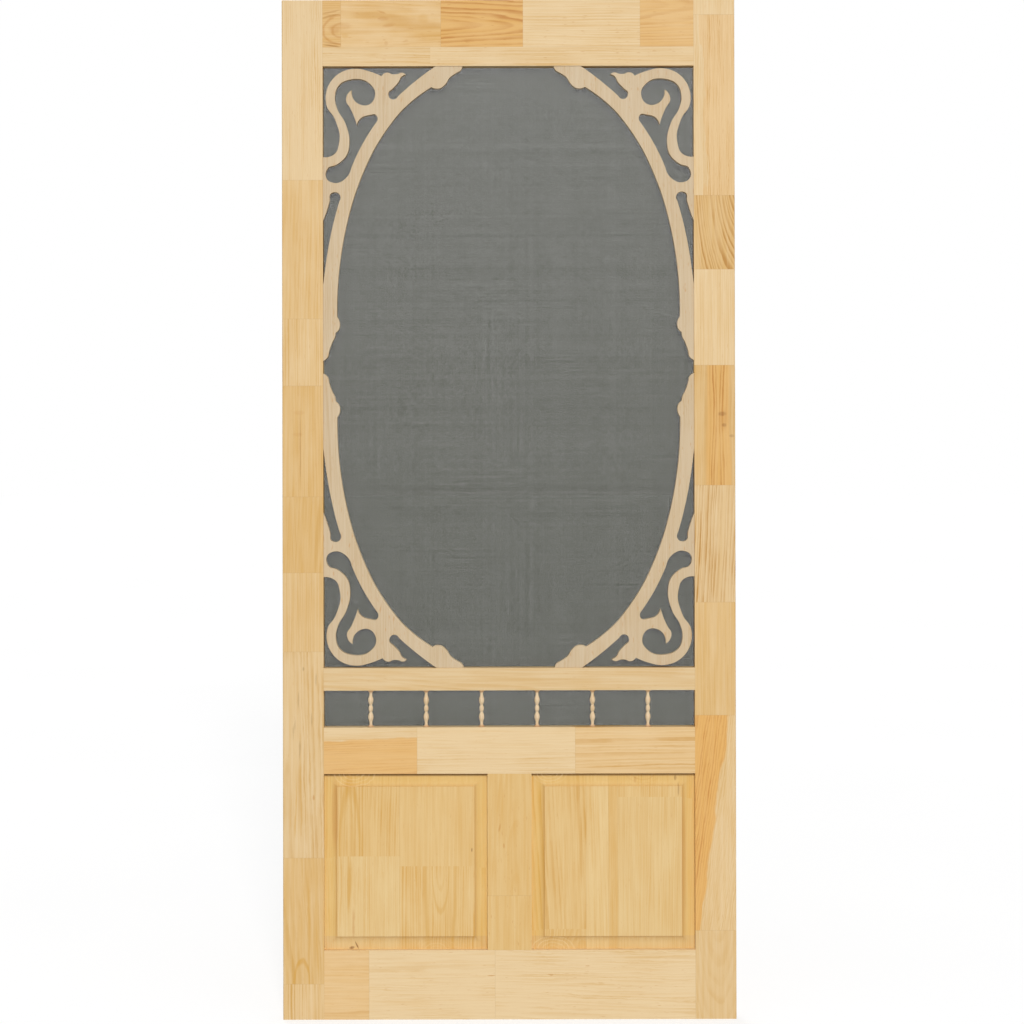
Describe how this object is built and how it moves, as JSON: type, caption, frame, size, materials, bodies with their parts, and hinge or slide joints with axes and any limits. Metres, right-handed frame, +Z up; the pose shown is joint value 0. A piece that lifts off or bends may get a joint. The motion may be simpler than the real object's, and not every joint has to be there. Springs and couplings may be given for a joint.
{
  "type": "screen door",
  "caption": "Wooden screen door leaf with scrolled fretwork brackets in the corners of its tall screen, a row of turned spindles below it and raised panels at the foot.",
  "frame": {"origin": "on the hinge edge, the outer edge of the left stile seen from the front, at the foot of the leaf and halfway through its thickness", "axes": "+X across the leaf from the hinge edge to the latch edge, +Y from the front face to the back face, +Z up"},
  "size_m": [0.9144, 0.0286, 2.0574],
  "materials": {
    "frame_pine": "bare sanded pine",
    "panel_pine": "bare sanded pine",
    "fretwork_pine": "bare sanded pine",
    "spindle_pine": "bare turned pine",
    "screen_mesh": "matt grey coated yarn",
    "spline_cord": "matt"
  },
  "bodies": {
    "root": {"left_stile": "frame_pine", "right_stile": "frame_pine", "top_rail": "frame_pine", "screen_rail": "frame_pine", "lock_rail": "frame_pine", "bottom_rail": "frame_pine", "centre_muntin": "frame_pine", "left_panel": "panel_pine", "right_panel": "panel_pine", "upper_left_bracket": "fretwork_pine", "upper_right_bracket": "fretwork_pine", "lower_left_bracket": "fretwork_pine", "lower_right_bracket": "fretwork_pine", "spindle_1": "spindle_pine", "spindle_2": "spindle_pine", "spindle_3": "spindle_pine", "spindle_4": "spindle_pine", "spindle_5": "spindle_pine", "spindle_6": "spindle_pine", "upper_screen": "screen_mesh", "lower_screen": "screen_mesh", "upper_spline": "spline_cord", "lower_spline": "spline_cord"}
  },
  "joints": []
}
